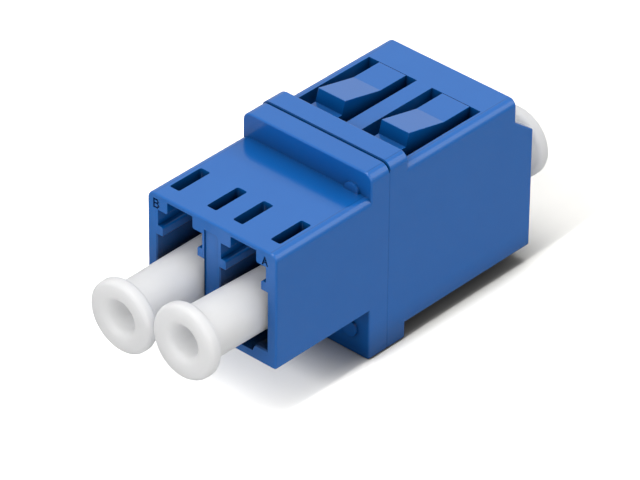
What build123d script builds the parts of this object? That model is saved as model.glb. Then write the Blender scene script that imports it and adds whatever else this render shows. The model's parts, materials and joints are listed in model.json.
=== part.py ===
from build123d import *
import os

# Duplex fibre adapter: two welded housing halves with a pair of ports at each end, a split
# sleeve between each facing pair, two snap arms that hold the panel, and four dust caps.
# Origin: in the weld seam, midway across the ports, level with the foot of the flange.
# +X across the ports, +Y from the front ports to the rear ports, +Z up. Millimetres.

# Port, the same at both ends: square plug way, rails, lug way, key way
port_pitch = 6.25
plug_width = 4.60
axis_to_rails = 2.74
rail_height = 0.87
rail_gap = 3.46
lug_height = 1.35
lug_width = 4.40
key_height = 1.01
key_width = 2.50
tab_round = 0.16
lead_in = 0.10
groove_width = 1.86
groove_flare = 0.27
groove_depth = 0.60

# Walls round the ports
side_wall = 0.925
key_roof = 0.33
front_floor = 1.31
web = 1.00

# Front housing, lengths from the weld seam
front_length = 12.02
front_flange = 1.97
flange_rise = 2.03
flange_foot = 4.34
slot_width = 0.96
slot_spacing = 3.67
slot_length = 3.30
slot_setback = 1.35
divider_panel_margin = 0.20
divider_panel_round = 0.25
divider_panel_drop = 0.92
divider_panel_depth = 0.12
mould_mark_radius = 0.70
mould_mark_height = 0.20
mould_mark_inset = 1.85

# Rear housing, lengths from the weld seam
rear_length = 16.03
rear_ledge = 2.05
rear_flange = 2.00
rear_flange_step = 0.12
rear_rise = 1.09
rear_foot = 1.35
notch_drop = 2.06
slope_drop = 1.54
notch_round = 0.30
core_wall = 1.00
core_depth = 11.00

# Latch windows and snap arms
window_width = 4.75
window_end = 10.90
arm_width = 2.67
arm_thickness = 1.05
wedge_length = 3.87
wedge_rise = 0.88
nose_height = 1.07
nose_lean = 0.32
foot_gap = 0.55
panel_gap = 2.14
arm_root_edge = 0.05

# Ferrule sleeves and their barrels
sleeve_bore = 1.25
sleeve_outside = 1.62
sleeve_length = 6.80
sleeve_slit = 0.30
sleeve_clearance = 0.04
sleeve_end_gap = 0.05
barrel_outside = 2.90
lip_thickness = 0.45
lip_clearance = 0.05
lip_flare = 0.20

# Dust caps
cap_tip_clearance = 0.27
cap_shoulder_clearance = 0.13
cap_flange_spacing = 0.29
cap_flange_thickness = 1.10
cap_flange_gap = 1.27
cap_rim_round = 0.36
cap_neck_round = 0.35
cap_bore_clearance = 0.12
cap_bore_depth = 8.00
cap_mouth = 2.58
cap_mouth_end = 2.20
cap_mouth_round = 0.55
cap_core = 2.50
cap_tip_edge = 0.15
cap_stand_off = 0.40
cap_tilt_front_right = 1.9
cap_tilt_front_left = -1.2
cap_tilt_rear_right = 1.9
cap_tilt_rear_left = -0.6

# Outer edges, the most of a cap's overhang that a round takes, how far a cut runs past the wall
# that it opens, and how near counts as level
round_share = 0.45
overcut = 0.50
level_tolerance = 0.001
crown_round = 0.65
flange_crown_round = 0.80
foot_round = 0.25
face_round = 0.15
seam_edge = 0.09

# Levels above the foot of the flange, where the plug way is square round the ferrule axis
floor_level = flange_foot + front_floor
axis_level = floor_level + plug_width / 2
rail_foot = axis_level + axis_to_rails
rail_top = rail_foot + rail_height
lug_top = rail_top + lug_height
key_top = lug_top + key_height
front_top = key_top + key_roof
flange_top = front_top + flange_rise
rear_top = front_top + rear_rise

# Widths and lengths that follow
body_width = port_pitch + plug_width + 2 * side_wall
rear_roof_length = rear_length - rear_ledge
barrel_length = sleeve_length / 2 + sleeve_end_gap + lip_thickness
cap_bore = barrel_outside + 2 * cap_bore_clearance
cap_tip = plug_width - 2 * cap_tip_clearance
cap_shoulder = plug_width - 2 * cap_shoulder_clearance
cap_flange = port_pitch - cap_flange_spacing
cap_overhang = (cap_flange - cap_shoulder) / 2
cap_rim = min(cap_rim_round, round_share * cap_flange_thickness, round_share * cap_overhang)
cap_neck = min(cap_neck_round, round_share * cap_overhang)
cap_flange_front = max(front_length, rear_length) + cap_flange_gap
cap_length = cap_flange_front + cap_flange_thickness - web - cap_stand_off

port_sides = {"left": -port_pitch / 2, "right": port_pitch / 2}
ends = {"front": -1, "rear": 1}


def across(y):
    """Plane across the ports at y: its x is +X, its y is +Z and its normal is -Y."""
    return Plane(origin=(0, y, 0), x_dir=(1, 0, 0), z_dir=(0, -1, 0))


def run(outline, y_low, y_high):
    """The outline, drawn across the ports, carried along Y from y_low to y_high."""
    return extrude(across(y_high) * outline, amount=y_high - y_low)


def from_side(outline, width):
    """An outline of (y, z) points, carried along X over a width that is centred on x = 0."""
    return extrude(Plane.YZ * outline, amount=width / 2, both=True)


def slab_outline(low, high, crown):
    """Outer outline of a housing from level low to level high, with rounded corners."""
    outline = Pos(0, (low + high) / 2) * Rectangle(body_width, high - low)
    outline = fillet(outline.vertices().sort_by(Axis.Y)[-2:], crown)
    return fillet(outline.vertices().sort_by(Axis.Y)[:2], foot_round)


def port_outline():
    """One port seen along its axis, on x = 0: key way, lug way, rails, plug way, floor groove."""
    half = [
        (0, key_top),
        (key_width / 2, key_top),
        (key_width / 2, lug_top),
        (lug_width / 2, lug_top),
        (lug_width / 2, rail_top),
        (rail_gap / 2, rail_top),
        (rail_gap / 2, rail_foot),
        (plug_width / 2, rail_foot),
        (plug_width / 2, floor_level),
        (groove_width / 2 + groove_flare, floor_level),
        (groove_width / 2, floor_level - groove_depth),
        (0, floor_level - groove_depth),
    ]
    edge = Polyline(*half)
    outline = make_face(edge + mirror(edge, Plane.YZ))
    corners = outline.vertices()
    tabs = corners.filter_by_position(Axis.Y, lug_top - level_tolerance, lug_top + level_tolerance)
    tabs = tabs.filter_by_position(Axis.X, -key_width / 2, key_width / 2)
    rails = corners.filter_by_position(Axis.Y, rail_foot - level_tolerance, rail_top + level_tolerance)
    rails = rails.filter_by_position(Axis.X, -rail_gap / 2, rail_gap / 2)
    return fillet(tabs + rails, tab_round)


def port_ways(end, mouth):
    """Both ports of one end, cut from the web to the mouth, with a lead-in round the plug way."""
    near, far = sorted((end * web, end * mouth))
    plug_way = Pos(0, (floor_level + rail_foot) / 2) * Rectangle(plug_width, rail_foot - floor_level)
    inner = across(end * (mouth - lead_in)) * plug_way
    outer = across(end * mouth) * offset(plug_way, lead_in, kind=Kind.INTERSECTION)
    flare = loft([inner.face(), outer.face()])
    one = run(port_outline(), near, far) + flare
    return [Pos(x, 0, 0) * one for x in port_sides.values()]


def barrels(end):
    """The two barrels of one end, solid, standing on the web."""
    near, far = sorted((end * web / 2, end * barrel_length))
    return [run(Pos(x, axis_level) * Circle(barrel_outside / 2), near, far) for x in port_sides.values()]


def barrel_bores(end):
    """What is cut from the barrels of one end: the sleeve's seat and the lip's funnel."""
    sleeve_end = sleeve_length / 2 + sleeve_end_gap
    profile = Polyline(
        (0, 0),
        (sleeve_outside / 2 + sleeve_clearance, 0),
        (sleeve_outside / 2 + sleeve_clearance, sleeve_end),
        (sleeve_bore / 2 + lip_clearance, sleeve_end),
        (sleeve_bore / 2 + lip_clearance + lip_flare, barrel_length),
        (0, barrel_length),
        close=True,
    )
    one = revolve(make_face(profile), Axis.Y)
    if end < 0:
        one = mirror(one, Plane.XZ)
    return [Pos(x, 0, axis_level) * one for x in port_sides.values()]


def edge_at(solid, y, radius):
    """Round the outer edges of a housing that lie in the plane at y."""
    edges = solid.edges().filter_by_position(Axis.Y, y - level_tolerance, y + level_tolerance)
    return fillet(edges, radius)


def seam_chamfer(solid):
    """Break the outer edge that meets the other half, so that the weld shows as a fine groove."""
    edges = solid.edges().filter_by_position(Axis.Y, -level_tolerance, level_tolerance)
    return chamfer(edges, seam_edge)


def front_housing():
    body = run(slab_outline(flange_foot, front_top, crown_round), -front_length, -seam_edge)
    body = edge_at(body, -front_length, face_round)
    flange = run(slab_outline(0, flange_top, flange_crown_round), -front_flange, 0)
    flange = seam_chamfer(edge_at(flange, -front_flange, face_round))
    solid = body + flange

    # Mould marks: two low round pads on the front of the flange
    for level in (front_top, flange_foot / 2):
        pad = Pos(body_width / 2 - mould_mark_inset, level) * Circle(mould_mark_radius)
        solid += run(pad, -front_flange - mould_mark_height, -front_flange)

    solid -= port_ways(-1, front_length)
    solid += barrels(-1)
    solid -= barrel_bores(-1)

    # Latch slots through the roof into the lug way of each port
    slot = Rectangle(slot_width, slot_length)
    slot = fillet(slot.vertices(), tab_round)
    slot_y = -front_length + slot_setback + slot_length / 2
    for x in port_sides.values():
        for side in (-1, 1):
            place = Pos(x + side * slot_spacing / 2, slot_y, lug_top - overcut)
            solid -= place * extrude(slot, amount=front_top - lug_top + 2 * overcut)

    # Shallow sunk panel on the front of the divider, open to the left port's lead-in
    panel_width = port_pitch - plug_width - lead_in - divider_panel_margin
    panel_height = front_top - divider_panel_drop - floor_level
    panel = Rectangle(panel_width, panel_height)
    panel = fillet(panel.vertices().group_by(Axis.Y)[-1].sort_by(Axis.X)[-1], divider_panel_round)
    panel = Pos((lead_in - divider_panel_margin) / 2, floor_level + panel_height / 2) * panel
    solid -= run(panel, -front_length, -front_length + divider_panel_depth)
    return solid


def rear_side_outline():
    """Side view of the rear body: roof, drop, sloped shelf and upright rear face."""
    corners = Polyline(
        (seam_edge, rear_foot),
        (seam_edge, rear_top),
        (rear_roof_length, rear_top),
        (rear_roof_length, rear_top - notch_drop),
        (rear_length, rear_top - notch_drop - slope_drop),
        (rear_length, rear_foot),
        close=True,
    )
    outline = make_face(corners)
    inner = outline.vertices().sort_by_distance((rear_roof_length, rear_top - notch_drop, 0))[0]
    return fillet(inner, notch_round)


def rear_housing():
    body = run(slab_outline(rear_foot, rear_top, crown_round), seam_edge, rear_length)
    body &= from_side(rear_side_outline(), 2 * body_width)
    behind_roof = body.edges().filter_by(lambda edge: edge.center().Y > rear_roof_length - level_tolerance)
    body = fillet(behind_roof.filter_by(lambda edge: edge.length > notch_round), face_round)
    flange = run(slab_outline(0, flange_top + rear_flange_step, flange_crown_round), 0, rear_flange)
    flange = seam_chamfer(edge_at(flange, rear_flange, face_round))
    solid = body + flange

    solid -= port_ways(1, rear_length)
    for x in port_sides.values():
        window = Pos(x, (lug_top + flange_top) / 2) * Rectangle(window_width, flange_top - lug_top)
        solid -= run(window, rear_flange, window_end)
        core_height = floor_level - groove_depth - rear_foot - 2 * core_wall
        core_level = rear_foot + core_wall + core_height / 2
        core = Pos(x, core_level) * Rectangle(plug_width, core_height)
        solid -= run(core, rear_length - core_depth, rear_length)
    solid += barrels(1)
    solid -= barrel_bores(1)
    return solid


def latch_arm():
    """Snap arm on x = 0: root, flush run, wedge that rises to the nose, and the foot before it."""
    root = window_end
    under = rear_top - arm_thickness
    nose = rear_flange + panel_gap
    nose_foot = rear_top + wedge_rise - nose_height
    corners = Polyline(
        (root, under),
        (root, rear_top - arm_root_edge),
        (root - arm_root_edge, rear_top),
        (nose + wedge_length, rear_top),
        (nose, rear_top + wedge_rise),
        (nose - nose_lean, nose_foot),
        (rear_flange + foot_gap, nose_foot),
        (rear_flange + foot_gap, under),
        close=True,
    )
    return from_side(make_face(corners), arm_width)


def sleeve():
    """Split sleeve on the Y axis, with its slit on top."""
    ring = Circle(sleeve_outside / 2) - Circle(sleeve_bore / 2)
    slit = Pos(0, sleeve_outside / 2) * Rectangle(sleeve_slit, sleeve_outside)
    return run(ring - slit, -sleeve_length / 2, sleeve_length / 2)


def cap():
    """Dust cap along +Y with its tip at the origin: tapered tube, flange, bore and tapered mouth."""
    flange_back = cap_length - cap_flange_thickness
    tube = Polyline(
        (0, 0),
        (cap_tip / 2 - cap_tip_edge, 0),
        (cap_tip / 2, cap_tip_edge),
        (cap_shoulder / 2, flange_back),
        (cap_flange / 2, flange_back),
        (cap_flange / 2, cap_length),
        (0, cap_length),
        close=True,
    )
    profile = make_face(tube)
    neck = profile.vertices().sort_by_distance((cap_shoulder / 2, flange_back, 0))[0]
    profile = fillet(neck, cap_neck)
    profile = fillet(profile.vertices().sort_by(Axis.X)[-2:], cap_rim)
    bore = Pos(0, cap_bore_depth / 2) * Rectangle(cap_bore, cap_bore_depth)
    mouth_bottom = cap_bore_depth + cap_core
    throat = cap_length - cap_mouth_round
    flare = cap_mouth / 2 + cap_mouth_round
    mouth = Polyline((flare, cap_length), (0, cap_length), (0, mouth_bottom), (cap_mouth_end / 2, mouth_bottom))
    mouth += Line((cap_mouth_end / 2, mouth_bottom), (cap_mouth / 2, throat))
    mouth += RadiusArc((cap_mouth / 2, throat), (flare, cap_length), cap_mouth_round)
    return revolve(profile - bore - make_face(mouth), Axis.Y)


def placed_cap(end, side):
    """A cap over its barrel, tilted in its clearance about the middle of the barrel's free length."""
    pivot = (web + barrel_length) / 2
    seated = Pos(0, web + cap_stand_off - pivot, 0) * cap()
    leaned = Rot(cap_tilts[end, side], 0, 0) * seated
    outward = Pos(0, pivot, 0) * leaned
    if ends[end] < 0:
        outward = mirror(outward, Plane.XZ)
    return Pos(port_sides[side], 0, axis_level) * outward


cap_tilts = {
    ("front", "right"): cap_tilt_front_right,
    ("front", "left"): cap_tilt_front_left,
    ("rear", "right"): cap_tilt_rear_right,
    ("rear", "left"): cap_tilt_rear_left,
}

parts = {"front_housing": front_housing(), "rear_housing": rear_housing()}
for side, x in port_sides.items():
    parts["latch_arm_" + side] = Pos(x, 0, 0) * latch_arm()
    parts["sleeve_" + side] = Pos(x, 0, axis_level) * sleeve()
    for end in ends:
        parts["cap_" + end + "_" + side] = placed_cap(end, side)

os.makedirs("parts", exist_ok=True)
for name, shape in parts.items():
    export_step(shape, "parts/" + name + ".step")
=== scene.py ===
import bmesh
import bpy
import json
import math
from mathutils import Matrix, Quaternion, Vector


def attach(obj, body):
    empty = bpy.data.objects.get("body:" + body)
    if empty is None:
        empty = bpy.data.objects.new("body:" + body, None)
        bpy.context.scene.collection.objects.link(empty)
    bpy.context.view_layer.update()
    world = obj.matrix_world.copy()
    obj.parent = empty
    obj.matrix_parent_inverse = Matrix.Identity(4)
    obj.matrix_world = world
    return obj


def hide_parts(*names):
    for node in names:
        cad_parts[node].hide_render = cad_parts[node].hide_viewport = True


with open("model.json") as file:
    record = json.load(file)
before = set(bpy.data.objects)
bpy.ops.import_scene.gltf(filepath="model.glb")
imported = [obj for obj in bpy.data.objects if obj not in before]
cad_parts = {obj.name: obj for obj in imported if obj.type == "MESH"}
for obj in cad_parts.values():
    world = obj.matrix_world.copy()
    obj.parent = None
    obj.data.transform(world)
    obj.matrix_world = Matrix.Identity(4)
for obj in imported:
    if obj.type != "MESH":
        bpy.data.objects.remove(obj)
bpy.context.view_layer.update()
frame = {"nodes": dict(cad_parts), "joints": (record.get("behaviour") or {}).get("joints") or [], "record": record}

# Duplex fibre adapter on a white table. Pieces are modelled in millimetres and set down in metres.
mm = 0.001
onLevel = 0.001          # mm, how near a point counts as on a level
mounts = {mount["name"]: Vector(mount["pos_m"]) / mm for mount in frame["record"]["mounts"]}
joints = {joint["name"]: joint for joint in frame["joints"]}
sides = ("left", "right")
ends = {"front": -1, "rear": 1}   # which way each end faces along Y


# Shader sums

class Wire:
    # One socket of a node tree: + - * and abs() add Math nodes, node() adds any other
    def __init__(self, tree, socket=None):
        self.tree = tree
        self.socket = socket

    def node(self, kind, settings=None, inputs=None, output=0):
        made = self.tree.nodes.new(kind)
        for key, value in (settings or {}).items():
            setattr(made, key, value)
        connect(self.tree, made, inputs or {})
        return Wire(self.tree, made.outputs[output])

    def math(self, operation, first, second):
        return self.node("ShaderNodeMath", {"operation": operation}, {0: first, 1: second})

    def __add__(self, other):
        return self.math("ADD", self, other)

    def __radd__(self, other):
        return self.math("ADD", other, self)

    def __sub__(self, other):
        return self.math("SUBTRACT", self, other)

    def __rsub__(self, other):
        return self.math("SUBTRACT", other, self)

    def __mul__(self, other):
        return self.math("MULTIPLY", self, other)

    def __rmul__(self, other):
        return self.math("MULTIPLY", other, self)

    def __abs__(self):
        return self.node("ShaderNodeMath", {"operation": "ABSOLUTE"}, {0: self})


def connect(tree, node, inputs):
    # Links wires to a node's sockets and sets plain values on them
    for key, value in inputs.items():
        if isinstance(value, Wire):
            tree.links.new(value.socket, node.inputs[key])
        else:
            node.inputs[key].default_value = value


def placeOn(wire):
    # Where a point of the piece is, in millimetres
    coords = wire.node("ShaderNodeTexCoord", output="Object")
    return wire.node("ShaderNodeMapping", {}, {"Vector": coords, "Scale": (1 / mm,) * 3})


def part(wire, vector, axis):
    return wire.node("ShaderNodeSeparateXYZ", {}, {"Vector": vector}, output=axis)


def nearLine(wire, distance, reach):
    # 1 on a line, fading to 0 at its reach
    return wire.node("ShaderNodeMapRange", {}, {
        "Value": distance, "From Min": 0.0, "From Max": reach, "To Min": 1.0, "To Max": 0.0,
    })


def patches(wire, place, size, detail):
    # Soft noise with patches of about this size in millimetres
    return wire.node("ShaderNodeTexNoise", {}, {"Vector": place, "Scale": 1 / size, "Detail": detail})


def openness(wire, reach):
    # 1 on an open surface, less where other surfaces stand within the reach in millimetres
    rays = 12
    return wire.node("ShaderNodeAmbientOcclusion", {"samples": rays}, {"Distance": reach * mm}, output="AO")


def blend(wire, share, first, second):
    # The first colour where the share is 0, the second where it is 1
    firstSocket, secondSocket, result = 6, 7, 2   # a Mix node's sockets for colours
    colors = [color if isinstance(color, Wire) else (*color, 1) for color in (first, second)]
    inputs = {"Factor": share, firstSocket: colors[0], secondSocket: colors[1]}
    return wire.node("ShaderNodeMix", {"data_type": "RGBA"}, inputs, output=result)


def between(limits, share):
    low, high = limits
    return low + (high - low) * share


def bumped(wire, height):
    # The height is in metres
    return wire.node("ShaderNodeBump", {}, {"Height": height, "Distance": 1.0})


def newMaterial(name):
    # An empty node tree with one Principled shader on the output
    material = bpy.data.materials.new(name)
    material.use_nodes = True
    tree = material.node_tree
    tree.nodes.clear()
    shader = tree.nodes.new("ShaderNodeBsdfPrincipled")
    output = tree.nodes.new("ShaderNodeOutputMaterial")
    tree.links.new(shader.outputs[0], output.inputs["Surface"])
    return material, shader, Wire(tree)


bluePlastic = {
    "color": (0.0028, 0.133, 0.500),
    "paleColor": (0.0042, 0.146, 0.530),
    "roughness": (0.13, 0.19),
    "mottleSize": 2.2,        # mm across one patch of tone
    "mottleDetail": 3.0,
    "mottleShare": 0.5,       # of the roughness, and the rest comes from the grain
    "grainSize": 0.30,        # mm, the fine moulded skin
    "grainDetail": 2.0,
    "sinkSize": 3.5,          # mm, slow waves where the walls shrank
    "sinkDetail": 0.0,
    "sinkDepth": 0.006,       # mm
    "recessReach": 3.2,       # mm, how near the walls of a hollow stand where painted shade darkens the colour
    "recessPower": 1.15,      # how fast the painted shade darkens there
    "seamReach": 0.11,        # mm on each side of the weld, where painted shade darkens the top
    "seamFacing": 0.5,        # how far up the skin faces where the weld's painted shade is full
    "seamShade": 0.45,        # the tone that the painted shade leaves on top, and the sides keep their tone
    "crownLineAt": 5.70,        # mm from the middle, where the flat top meets the rounded crown
    "crownLineReach": 0.045,    # mm
    "crownLineFacing": 0.95,    # how far up the skin faces where the painted shade line shows
    "crownLineShade": 0.62,     # the painted shade line's tone, where 1 is that of the skin beside it
    "specular": 0.50,
    "ior": 1.50,
}


def makeBluePlastic(name, look):
    material, shader, wire = newMaterial(name)
    place = placeOn(wire)
    across = abs(part(wire, place, "X"))
    along = abs(part(wire, place, "Y"))
    upward = part(wire, wire.node("ShaderNodeTexCoord", output="Normal"), "Z")
    # Painted shade along the weld's groove: full where the skin faces up, none on the sides
    onTop = wire.node("ShaderNodeMapRange", {}, {
        "Value": upward, "From Min": 0.0, "From Max": look["seamFacing"],
        "To Min": 0.0, "To Max": 1 - look["seamShade"],
    })
    seam = nearLine(wire, along, look["seamReach"]) * onTop
    # Painted shade in a thin line where the flat top meets the rounded crown
    flatTop = wire.math("GREATER_THAN", upward, look["crownLineFacing"])
    crownShadeLine = nearLine(wire, abs(across - look["crownLineAt"]), look["crownLineReach"]) * flatTop
    # Painted shade in hollows: the colour darkens where walls stand near
    shade = wire.math("POWER", openness(wire, look["recessReach"]), look["recessPower"])
    shade = shade * (1 - seam) * (1 - (1 - look["crownLineShade"]) * crownShadeLine)
    mottle = patches(wire, place, look["mottleSize"], look["mottleDetail"])
    grain = patches(wire, place, look["grainSize"], look["grainDetail"])
    sink = patches(wire, place, look["sinkSize"], look["sinkDetail"])
    plain = blend(wire, mottle, look["color"], look["paleColor"])
    gloss = look["mottleShare"] * mottle + (1 - look["mottleShare"]) * grain
    connect(material.node_tree, shader, {
        # the skin's colour, darkened towards black by the painted shade
        "Base Color": blend(wire, shade, (0, 0, 0), plain),
        "Roughness": between(look["roughness"], gloss),
        "Normal": bumped(wire, look["sinkDepth"] * mm * sink),
        "IOR": look["ior"],
        "Specular IOR Level": look["specular"],
    })
    return material


whitePlastic = {
    "color": (0.982, 0.984, 0.988),
    "thickColor": (0.970, 0.973, 0.979),
    "roughness": (0.42, 0.54),
    "cloudSize": 1.6,         # mm across one patch of tone
    "cloudDetail": 2.0,
    "cloudShare": 0.6,        # of the roughness, and the rest comes from the skin
    "skinSize": 0.30,         # mm
    "skinDetail": 2.0,
    "skinDepth": 0.0010,      # mm
    "specular": 0.30,
    "ior": 1.50,
    "subsurface": 1.0,
    "glowDepth": 2.8,         # mm that light travels inside
    "glowSpread": (1.0, 1.0, 1.0),   # shares of that depth for red, green and blue
}


def makeWhitePlastic(name, look):
    material, shader, wire = newMaterial(name)
    place = placeOn(wire)
    cloud = patches(wire, place, look["cloudSize"], look["cloudDetail"])
    skin = patches(wire, place, look["skinSize"], look["skinDetail"])
    gloss = look["cloudShare"] * cloud + (1 - look["cloudShare"]) * skin
    connect(material.node_tree, shader, {
        "Base Color": blend(wire, cloud, look["color"], look["thickColor"]),
        "Roughness": between(look["roughness"], gloss),
        "Normal": bumped(wire, look["skinDepth"] * mm * skin),
        "IOR": look["ior"],
        "Specular IOR Level": look["specular"],
        "Subsurface Weight": look["subsurface"],
        "Subsurface Radius": look["glowSpread"],
        "Subsurface Scale": look["glowDepth"] * mm,
    })
    return material


ceramic = {
    "color": (0.82, 0.80, 0.74),
    "warmColor": (0.77, 0.74, 0.66),
    "roughness": (0.12, 0.20),
    "grainSize": 0.05,        # mm
    "grainDetail": 3.0,
    "ior": 1.9,
}


def makeCeramic(name, look):
    material, shader, wire = newMaterial(name)
    grain = patches(wire, placeOn(wire), look["grainSize"], look["grainDetail"])
    connect(material.node_tree, shader, {
        "Base Color": blend(wire, grain, look["color"], look["warmColor"]),
        "Roughness": between(look["roughness"], grain),
        "IOR": look["ior"],
    })
    return material


blue = makeBluePlastic("blue_plastic_skin", bluePlastic)
white = makeWhitePlastic("white_plastic_skin", whitePlastic)
zirconia = makeCeramic("zirconia_skin", ceramic)
print("materials ready")


# Mesh helpers

def joinFlat(bm):
    # Makes each flat face whole
    flatAngle = math.radians(0.2)
    bmesh.ops.dissolve_limit(bm, angle_limit=flatAngle, verts=bm.verts, edges=bm.edges)


def weldedCopy(nodeName):
    # A copy of a CAD solid in millimetres, its loose triangles welded
    weldDistance = 0.0005
    bm = bmesh.new()
    bm.from_mesh(frame["nodes"][nodeName].data)
    bmesh.ops.scale(bm, vec=(1 / mm,) * 3, verts=bm.verts)
    bmesh.ops.remove_doubles(bm, verts=bm.verts, dist=weldDistance)
    joinFlat(bm)
    return bm


def sharpEdges(bm, sharpAngle):
    return [e for e in bm.edges if e.is_manifold and e.calc_face_angle(0) > math.radians(sharpAngle)]


def breakEdges(bm, edges, width, segments):
    # The tiny round that every moulded edge has
    bmesh.ops.bevel(
        bm, geom=edges, offset=width, offset_type="OFFSET", segments=segments, profile=0.5,
        affect="EDGES", material=-1, clamp_overlap=True,
    )


def asObject(bm, name):
    mesh = bpy.data.meshes.new(name)
    bm.to_mesh(mesh)
    bm.free()
    made = bpy.data.objects.new(name, mesh)
    bpy.context.scene.collection.objects.link(made)
    return made


def setDown(bm, name, material, body, crease):
    # Finishes a bmesh as a piece in metres that rides on a body
    bmesh.ops.scale(bm, vec=(mm,) * 3, verts=bm.verts)
    for face in bm.faces:
        face.smooth = True
    piece = asObject(bm, name)
    mesh = piece.data
    if "custom_normal" in mesh.attributes:
        mesh.attributes.remove(mesh.attributes["custom_normal"])
    mesh.set_sharp_from_angle(angle=math.radians(crease))
    mesh.materials.clear()
    mesh.materials.append(material)
    weighted = piece.modifiers.new("flatFaces", "WEIGHTED_NORMAL")
    weighted.keep_sharp = True
    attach(piece, body)
    return piece


# Housings and snap arms: the CAD forms with their edges broken

housing = {
    "edgeRound": 0.04,     # mm
    "edgeSegments": 2,
    "sharpAngle": 38,      # degrees
    "seamHalf": 0.11,      # mm on each side of the weld, where edges stay crisp
    "sideDepth": 0.040,    # mm, what the weld leaves of its groove on the sides
    "topDepth": 0.24,      # mm, and on top
    "drawnDepth": 0.09,    # mm, the groove of the CAD form
    "crownRound": 0.80,    # mm, the flange's upper corners
    "crownSlack": 0.02,    # mm that a point may be off that round
    "bodyCrease": 35,      # degrees, a turn that shows as an edge
    "armCrease": 8,
}

engraving = {
    "strokeWidth": 0.14,   # mm
    "depth": 0.15,         # mm
    "frontFace": -12.02,   # mm along Y
}

portLetters = {
    # each letter's middle on the front face and its width and height between stroke middles, in mm,
    # and its lines of points, in parts of that width and height from the middle
    "A": {
        "at": (5.22, 13.36), "size": (0.44, 0.62),
        "lines": [[(-0.5, -0.5), (0, 0.5), (0.5, -0.5)], [(-0.3, -0.15), (0.3, -0.15)]],
    },
    "B": {
        "at": (-5.47, 13.39), "size": (0.48, 0.68),
        "lines": [
            [(-0.5, -0.5), (-0.5, 0.5), (0.15, 0.5), (0.42, 0.28), (0.15, 0.04), (-0.5, 0.04)],
            [(0.15, 0.04), (0.5, -0.22), (0.2, -0.5), (-0.5, -0.5)],
        ],
    },
}


def letterPoint(letter, across, up):
    # A point of a letter on the front face
    x, z = letter["at"]
    width, height = letter["size"]
    return Vector((x + across * width, engraving["frontFace"], z + up * height))


def strokeCutter(start, end):
    # One stroke of a letter as a solid bar through the front face
    along = end - start
    width = engraving["strokeWidth"]
    bm = bmesh.new()
    bmesh.ops.create_cube(bm, size=1.0)
    bmesh.ops.scale(bm, vec=(along.length + width, 2 * engraving["depth"], width), verts=bm.verts)
    turn = Matrix.Rotation(-math.atan2(along.z, along.x), 4, "Y")
    bmesh.ops.transform(bm, matrix=Matrix.Translation((start + end) / 2) @ turn, verts=bm.verts)
    return bm


def engraved(bm):
    # Sinks the port letters into the front face
    block = asObject(bm, "block")
    cutters = []
    for name, letter in portLetters.items():
        for line in letter["lines"]:
            points = [letterPoint(letter, across, up) for across, up in line]
            for start, end in zip(points, points[1:]):
                cutters.append(asObject(strokeCutter(start, end), "cutter_" + name))
    for cutter in cutters:
        cut = block.modifiers.new(cutter.name, "BOOLEAN")
        cut.operation = "DIFFERENCE"
        cut.solver = "EXACT"
        cut.object = cutter
    cutMesh = block.evaluated_get(bpy.context.evaluated_depsgraph_get()).to_mesh()
    result = bmesh.new()
    result.from_mesh(cutMesh)
    for leftover in [block] + cutters:
        bpy.data.objects.remove(leftover)
    joinFlat(result)
    return result


def cutWeld(bm):
    # The weld nearly fills its groove on the sides and leaves it deep on top and round the crown
    halfWidth = max(v.co.x for v in bm.verts)
    ring = [v for v in bm.verts if abs(v.co.y) < onLevel]
    level = max(v.co.z for v in ring)
    drawn = housing["crownRound"] - housing["drawnDepth"]
    deep = housing["crownRound"] - housing["topDepth"]
    for v in ring:
        middle = Vector((math.copysign(halfWidth - housing["crownRound"], v.co.x), 0, level - drawn))
        spoke = v.co - middle
        if abs(v.co.x) > halfWidth - housing["seamHalf"]:
            v.co.x = math.copysign(halfWidth - housing["sideDepth"], v.co.x)
        elif v.co.z > level - onLevel:
            v.co.z = level - (drawn - deep)
        elif spoke.z > 0 and abs(spoke.length - drawn) < housing["crownSlack"]:
            v.co = middle + spoke * (deep / drawn)


def keepFlat(mesh, level):
    # A face across the ports keeps one even shade up to its edges
    for edge in mesh.edges:
        if all(abs(mesh.vertices[v].co.y / mm - level) < onLevel for v in edge.vertices):
            edge.use_edge_sharp = True


def makeShell(nodeName, pieceName, body, crease):
    bm = weldedCopy(nodeName)
    if body == "adapter":
        cutWeld(bm)
    edges = [
        e for e in sharpEdges(bm, housing["sharpAngle"])
        if e.is_convex and not all(abs(v.co.y) < housing["seamHalf"] for v in e.verts)
    ]
    breakEdges(bm, edges, housing["edgeRound"], housing["edgeSegments"])
    print(pieceName, "has", len(bm.faces), "faces after", len(edges), "edges were broken")
    if nodeName == "front_housing":
        bm = engraved(bm)
    piece = setDown(bm, pieceName, blue, body, crease)
    if nodeName == "front_housing":
        keepFlat(piece.data, engraving["frontFace"])
    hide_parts(nodeName)


makeShell("front_housing", "front_shell", "adapter", housing["bodyCrease"])
makeShell("rear_housing", "rear_shell", "adapter", housing["bodyCrease"])
for side in sides:
    makeShell("latch_arm_" + side, "snap_arm_" + side, "latch_" + side, housing["armCrease"])
print("housings ready")


# Dust caps

cap = {
    "tipFromSeam": 1.40,      # mm, as all its lengths
    "pivotFromSeam": 2.45,    # halfway along the free barrel, where the cap rocks in its clearance
    "length": 17.00,
    "tipRadius": 2.03,
    "shoulderRadius": 2.17,
    "tipRound": 0.15,
    "neckRound": 0.35,
    "flangeRadius": 2.98,
    "flangeThickness": 1.10,
    "rimRound": 0.36,
    "mouthRadius": 1.29,
    "mouthEndRadius": 1.10,
    "mouthRound": 0.55,
    "mouthEndRound": 0.20,
    "mouthDepth": 6.50,
    "boreRadius": 1.57,
    "boreDepth": 8.00,
    "boreEndRound": 0.10,
    "boreLipRound": 0.05,
    "weldDistance": 0.001,
    "crease": 60,             # degrees
    "turns": 96,
    "arcSteps": 10,
}


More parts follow.
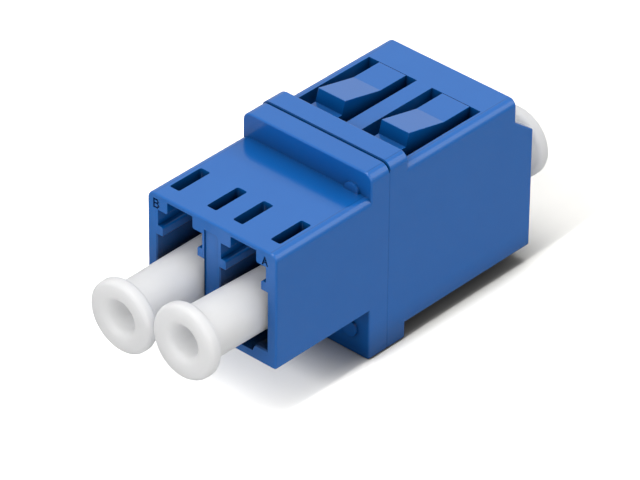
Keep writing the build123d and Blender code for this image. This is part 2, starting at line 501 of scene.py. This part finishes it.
def capProfile(bm, c):
    # Half section on the XY plane: x is the radius, y runs from the tip to the outer face
    back = c["length"] - c["flangeThickness"]
    mouthEnd = c["length"] - c["mouthDepth"]
    corners = [
        (0, c["boreDepth"], 0),
        (c["boreRadius"], c["boreDepth"], c["boreEndRound"]),
        (c["boreRadius"], 0, c["boreLipRound"]),
        (c["tipRadius"], 0, c["tipRound"]),
        (c["shoulderRadius"], back, c["neckRound"]),
        (c["flangeRadius"], back, c["rimRound"]),
        (c["flangeRadius"], c["length"], c["rimRound"]),
        (c["mouthRadius"], c["length"], c["mouthRound"]),
        (c["mouthEndRadius"], mouthEnd, c["mouthEndRound"]),
        (0, mouthEnd, 0),
    ]
    verts = [bm.verts.new((x, y, 0)) for x, y, _ in corners]
    for first, second in zip(verts, verts[1:]):
        bm.edges.new((first, second))
    for vert, (_, _, radius) in zip(verts, corners):
        if radius:
            bmesh.ops.bevel(
                bm, geom=[vert], offset=radius, offset_type="OFFSET", segments=c["arcSteps"],
                profile=0.5, affect="VERTICES", material=-1,
            )


def makeCap(end, side):
    name = "cap_" + end + "_" + side
    direction = Vector(joints[name + "_pull"]["axis"]).normalized()
    pivot = mounts["ferrule_bore_" + side] + Vector((0, ends[end] * cap["pivotFromSeam"], 0))
    bm = bmesh.new()
    capProfile(bm, cap)
    bmesh.ops.spin(
        bm, geom=bm.verts[:] + bm.edges[:], cent=(0, 0, 0), axis=(0, 1, 0), dvec=(0, 0, 0),
        angle=math.tau, steps=cap["turns"], use_merge=True, use_duplicate=False,
    )
    bmesh.ops.remove_doubles(bm, verts=bm.verts, dist=cap["weldDistance"])
    bmesh.ops.recalc_face_normals(bm, faces=bm.faces)
    start = Matrix.Translation((0, cap["tipFromSeam"] - cap["pivotFromSeam"], 0))
    lean = Vector((0, 1, 0)).rotation_difference(direction).to_matrix().to_4x4()
    bmesh.ops.transform(bm, matrix=Matrix.Translation(pivot) @ lean @ start, verts=bm.verts)
    piece = setDown(bm, "dust_" + name, white, name, cap["crease"])
    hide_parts(name)
    return piece


caps = [makeCap(end, side) for end in ends for side in sides]
print("dust caps ready")

for side in sides:
    sleeve = frame["nodes"]["sleeve_" + side]
    sleeve.data.materials.clear()
    sleeve.data.materials.append(zirconia)
print("sleeves ready")


# Table, light and camera

table = {
    "size": 3.0,           # m
    "color": (0.27, 0.27, 0.27),         # what the object sees and is lit by
    "cameraColor": (0.87, 0.86, 0.83),   # what the picture shows
    "contactReach": 4.0,   # mm, how far the painted shadow under a near edge spreads
    "contactShade": 0.35,  # the painted shadow's tone there, where 1 is that of the open paper
    "roughness": 0.9,
}


def makeTable():
    bm = bmesh.new()
    bmesh.ops.create_grid(bm, x_segments=1, y_segments=1, size=table["size"] / 2)
    floor = asObject(bm, "table_top")
    material, shader, wire = newMaterial("table_paper")
    camera = wire.node("ShaderNodeLightPath", output="Is Camera Ray")
    # Painted shadow: the paper that the camera sees darkens where the object stands near it
    contact = 1 - (1 - table["contactShade"]) * (1 - openness(wire, table["contactReach"]))
    shown = blend(wire, contact, (0, 0, 0), table["cameraColor"])
    connect(material.node_tree, shader, {
        "Base Color": blend(wire, camera, table["color"], shown),
        "Roughness": table["roughness"],
        "Specular IOR Level": 0.0,
    })
    floor.data.materials.append(material)
    return floor


sky = {
    "fill": 0.28,   # what the world gives the object
    "seen": 1.0,    # what the camera, gloss and glass see of it
}


def makeSky():
    world = bpy.data.worlds.new("studio")
    bpy.context.scene.world = world
    world.use_nodes = True
    tree = world.node_tree
    tree.nodes.clear()
    wire = Wire(tree)
    camera = wire.node("ShaderNodeLightPath", output="Is Camera Ray")
    glossy = wire.node("ShaderNodeLightPath", output="Is Glossy Ray")
    through = wire.node("ShaderNodeLightPath", output="Is Transmission Ray")
    seen = wire.math("MAXIMUM", wire.math("MAXIMUM", camera, glossy), through)
    strength = between((sky["fill"], sky["seen"]), seen)
    background = wire.node("ShaderNodeBackground", {}, {"Color": (1, 1, 1, 1), "Strength": strength})
    output = tree.nodes.new("ShaderNodeOutputWorld")
    tree.links.new(background.socket, output.inputs["Surface"])


softboxes = {
    # what each lamp lights, where it stands and its size in metres, and its watts;
    # its back points away from the object, or the way that backTo says
    "over": {"lights": "all", "at": (-0.03, -0.03, 0.60), "size": (0.40, 0.40), "watts": 1.55},
    "front": {"lights": "all", "at": (-0.07, -0.52, 0.46), "size": (0.46, 0.46), "watts": 1.52},
    "near": {"lights": "object", "at": (0.58, -0.42, 0.36), "size": (0.50, 0.50), "watts": 1.38},
    "edge": {"lights": "object", "at": (0.40, 0.43, 0.39), "size": (0.52, 0.52), "watts": 0.92},
    "paperStrip": {
        "lights": "paper", "at": (0, -0.45, 0.60), "backTo": (0, 0, 1), "size": (0.06, 1.50), "watts": 4.6,
    },
    "paperFront": {"lights": "paper", "at": (0, -0.857, 0.515), "size": (0.10, 0.32), "watts": 10.0},
}


def linkGroup(name, members, state):
    # Pieces for light linking: a lamp lights or is blocked by these alone, or by all but these
    group = bpy.data.collections.new(name)
    for number, member in enumerate(members):
        group.objects.link(member)
        group.collection_objects[number].light_linking.link_state = state
    return group


def makeSoftbox(name, box, floor, caps):
    lamp = bpy.data.lights.new(name + "Softbox", "AREA")
    lamp.size, lamp.size_y = box["size"]
    lamp.shape = "ELLIPSE" if lamp.size == lamp.size_y else "RECTANGLE"
    lamp.energy = box["watts"]
    holder = bpy.data.objects.new(name + "Softbox", lamp)
    bpy.context.scene.collection.objects.link(holder)
    holder.location = box["at"]
    holder.rotation_mode = "QUATERNION"
    holder.rotation_quaternion = Vector(box.get("backTo", box["at"])).to_track_quat("Z", "Y")
    if box["lights"] == "object":
        holder.light_linking.receiver_collection = linkGroup(name + "Lights", [floor], "EXCLUDE")
    if box["lights"] == "paper":
        holder.light_linking.receiver_collection = linkGroup(name + "Lights", [floor], "INCLUDE")
        holder.light_linking.blocker_collection = linkGroup(name + "Passes", caps, "EXCLUDE")


view = {
    "azimuth": 42.113,       # degrees
    "elevation": 34.24,
    "roll": 0.616,
    "distance": 0.400,       # m
    "aim": (-1.05, 0.73, 5.94),   # mm
    "lens": 304.65,          # mm
    "sensor": 36,            # mm
    "clip": (0.01, 10),      # m
}


def makeCamera():
    azimuth = math.radians(view["azimuth"])
    elevation = math.radians(view["elevation"])
    level = math.cos(elevation)
    back = Vector((math.sin(azimuth) * level, -math.cos(azimuth) * level, math.sin(elevation)))
    camera = bpy.data.objects.new("camera", bpy.data.cameras.new("camera"))
    bpy.context.scene.collection.objects.link(camera)
    camera.data.sensor_width = view["sensor"]
    camera.data.lens = view["lens"]
    camera.data.clip_start, camera.data.clip_end = view["clip"]
    camera.location = Vector(view["aim"]) * mm + back * view["distance"]
    camera.rotation_mode = "QUATERNION"
    roll = Quaternion((0, 0, 1), math.radians(view["roll"]))
    camera.rotation_quaternion = (-back).to_track_quat("-Z", "Y") @ roll
    bpy.context.scene.camera = camera


floor = makeTable()
makeSky()
for name, box in softboxes.items():
    makeSoftbox(name, box, floor, caps)
makeCamera()
bpy.context.scene.view_settings.view_transform = "Standard"
print("table, light and camera ready")
